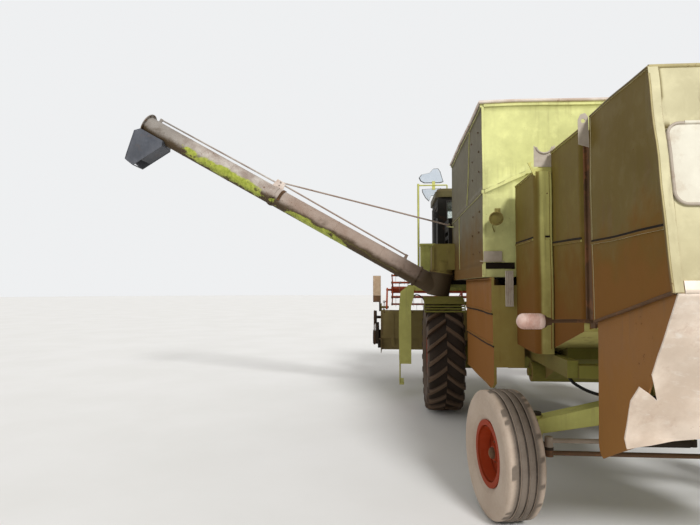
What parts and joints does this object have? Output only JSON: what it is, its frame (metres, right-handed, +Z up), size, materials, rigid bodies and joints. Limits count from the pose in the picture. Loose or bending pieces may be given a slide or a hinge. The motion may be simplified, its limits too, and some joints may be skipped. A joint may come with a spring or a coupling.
{
  "type": "combine harvester",
  "caption": "Self-propelled combine harvester with raised grain header, unloading auger swung out to the left and steered rear wheels",
  "frame": {"origin": "middle of the overall box on the ground, with the unloading auger out and the header raised", "axes": "+X forward in the driving direction, +Y to the machine's left, +Z up"},
  "size_m": [8.2105, 7.7932, 4.0624],
  "materials": {
    "painted": "faded",
    "dusty": "dusty",
    "steel": "worn",
    "red": "faded",
    "tyre": "dusty",
    "glass": "clear",
    "dark": "dusty",
    "sheet": "crumpled",
    "plastic": "dull",
    "lamp": "clouded"
  },
  "bodies": {
    "chassis": {"frame": "dusty", "threshing_body": "painted", "walker_housing": "painted", "mudguards": "painted", "straw_hood": "painted", "hood_skirts": "dusty", "rear_apron": "sheet", "cleaning_shoe": "dusty", "straw_walkers": "steel", "tank_sides": "painted", "tank_ends": "painted", "tank_floor": "steel", "grain_elevator": "dusty", "engine": "dark", "engine_bay": "dark", "front_axle": "painted", "rear_axle": "painted", "platform": "painted", "ladder": "painted", "cab_frame": "dark", "cab_roof": "painted", "cab_glass": "glass", "controls": "plastic", "mirrors": "painted", "lamps": "lamp", "auger_elbow": "painted", "belt_drives": "steel"},
    "wheel_front_left": {"tyre_front_left": "tyre", "rim_front_left": "red"},
    "wheel_rear_left": {"tyre_rear_left": "tyre", "rim_rear_left": "red"},
    "steer_knuckle_left": {"knuckle_left": "steel"},
    "wheel_front_right": {"tyre_front_right": "tyre", "rim_front_right": "red"},
    "wheel_rear_right": {"tyre_rear_right": "tyre", "rim_rear_right": "red"},
    "steer_knuckle_right": {"knuckle_right": "steel"},
    "tie_link": {"tie_rod": "steel"},
    "steer_cylinder": {"steer_barrel": "dark"},
    "steer_piston": {"steer_rod": "steel"},
    "header": {"feeder_house": "painted", "header_trough": "painted", "cutter_bar": "steel", "header_drives": "steel"},
    "intake": {"intake_auger": "steel"},
    "reel_lift": {"reel_arms": "red"},
    "reel_rotor": {"reel": "red"},
    "reel_cylinders": {"reel_barrels": "dark"},
    "reel_pistons": {"reel_rods": "steel"},
    "lift_cylinders": {"lift_barrels": "dark"},
    "lift_pistons": {"lift_rods": "steel"},
    "unloader": {"auger_tube": "dusty", "auger_spout": "sheet"},
    "cross_rotor": {"tank_auger": "steel"},
    "door": {"cab_door": "dark"},
    "hatch": {"rear_hatch": "painted"},
    "side_guard_left": {"guard_left": "dusty"},
    "side_guard_right": {"guard_right": "dusty"}
  },
  "joints": [
    {"name": "front_spin_left", "type": "hinge", "parent": "chassis", "child": "wheel_front_left", "pos_m": [0.80492, -0.49659, 0.72], "axis": [0, 1, 0], "continuous": true},
    {"name": "steer_left", "type": "hinge", "parent": "chassis", "child": "steer_knuckle_left", "pos_m": [-2.51509, -0.86459, 0.6325], "axis": [0, 0, 1], "range_deg": [-43, 21]},
    {"name": "rear_spin_left", "type": "hinge", "parent": "steer_knuckle_left", "child": "wheel_rear_left", "pos_m": [-2.56279, -0.61918, 0.4425], "axis": [-0.1908, 0.9816, 0], "continuous": true},
    {"name": "front_spin_right", "type": "hinge", "parent": "chassis", "child": "wheel_front_right", "pos_m": [0.80492, -2.97659, 0.72], "axis": [0, 1, 0], "continuous": true},
    {"name": "steer_right", "type": "hinge", "parent": "chassis", "child": "steer_knuckle_right", "pos_m": [-2.51509, -2.60859, 0.6325], "axis": [0, 0, 1], "range_deg": [-43, 21]},
    {"name": "rear_spin_right", "type": "hinge", "parent": "steer_knuckle_right", "child": "wheel_rear_right", "pos_m": [-2.46738, -2.85399, 0.4425], "axis": [-0.1908, 0.9816, 0], "continuous": true},
    {"name": "tie_turn", "type": "hinge", "parent": "steer_knuckle_left", "child": "tie_link", "pos_m": [-2.71141, -0.90275, 0.493], "axis": [0, 0, 1], "range_deg": [-22, 44]},
    {"name": "steer_cylinder_turn", "type": "hinge", "parent": "chassis", "child": "steer_cylinder", "pos_m": [-2.69509, -1.83659, 0.575], "axis": [0, 0, 1], "range_deg": [-2, 2]},
    {"name": "steer_piston_slide", "type": "slide", "parent": "steer_cylinder", "child": "steer_piston", "axis": [-0.0175, 0.9998, 0], "range_m": [-0.0735, 0.1464]},
    {"name": "header_lift", "type": "hinge", "parent": "chassis", "child": "header", "pos_m": [1.42491, -1.73659, 1.25], "axis": [0, -1, 0], "range_deg": [-8.5, 5]},
    {"name": "intake_spin", "type": "hinge", "parent": "header", "child": "intake", "pos_m": [3.05491, -1.73659, 0.8], "axis": [0, 1, 0], "continuous": true},
    {"name": "reel_raise", "type": "hinge", "parent": "header", "child": "reel_lift", "pos_m": [2.79492, -1.73659, 1.26], "axis": [0, -1, 0], "range_deg": [-24, 8]},
    {"name": "reel_spin", "type": "hinge", "parent": "reel_lift", "child": "reel_rotor", "pos_m": [3.60492, -1.73659, 1.55], "axis": [0, 1, 0], "continuous": true},
    {"name": "reel_cylinder_turn", "type": "hinge", "parent": "header", "child": "reel_cylinders", "pos_m": [2.86491, -1.73659, 0.96], "axis": [0, -1, 0], "range_deg": [-20, 8]},
    {"name": "reel_piston_slide", "type": "slide", "parent": "reel_cylinders", "child": "reel_pistons", "axis": [0.6509, 0, 0.7592], "range_m": [-0.115, 0.045]},
    {"name": "lift_cylinder_turn", "type": "hinge", "parent": "chassis", "child": "lift_cylinders", "pos_m": [1.03492, -1.73659, 0.59], "axis": [0, -1, 0], "range_deg": [-7, 5]},
    {"name": "lift_piston_slide", "type": "slide", "parent": "lift_cylinders", "child": "lift_pistons", "axis": [0.9965, 0, 0.0838], "range_m": [-0.11, 0.07]},
    {"name": "unloader_swing", "type": "hinge", "parent": "chassis", "child": "unloader", "pos_m": [0.90492, -0.46659, 1.59], "axis": [-0.057, -0.1601, 0.9855], "range_deg": [0, 88.3]},
    {"name": "cross_spin", "type": "hinge", "parent": "chassis", "child": "cross_rotor", "pos_m": [0.88782, -1.73659, 1.88565], "axis": [0, 1, 0], "continuous": true},
    {"name": "door_swing", "type": "hinge", "parent": "chassis", "child": "door", "pos_m": [1.71192, -0.50559, 2.34], "axis": [0, 0, 1], "range_deg": [0, 80]},
    {"name": "hatch_lift", "type": "hinge", "parent": "chassis", "child": "hatch", "pos_m": [-3.95871, -1.73659, 2.37023], "axis": [0, 1, 0], "range_deg": [0, 75]},
    {"name": "guard_lift_left", "type": "hinge", "parent": "chassis", "child": "side_guard_left", "pos_m": [-1.62508, -0.73559, 1.6857], "axis": [-1, 0, 0], "range_deg": [-65, 0]},
    {"name": "guard_lift_right", "type": "hinge", "parent": "chassis", "child": "side_guard_right", "pos_m": [-1.62508, -2.73759, 1.6857], "axis": [1, 0, 0], "range_deg": [-65, 0]}
  ],
  "couplings": [
    {"joint": "steer_right", "follows": "steer_left", "ratio": 1},
    {"joint": "tie_turn", "follows": "steer_left", "ratio": -1},
    {"joint": "steer_piston_slide", "follows": "steer_left", "m_per_rad": -0.18975},
    {"joint": "lift_cylinder_turn", "follows": "header_lift", "ratio": 0.5903},
    {"joint": "lift_piston_slide", "follows": "header_lift", "m_per_rad": 0.6325},
    {"joint": "reel_cylinder_turn", "follows": "reel_raise", "ratio": 0.6677},
    {"joint": "reel_piston_slide", "follows": "reel_raise", "m_per_rad": 0.2628}
  ]
}
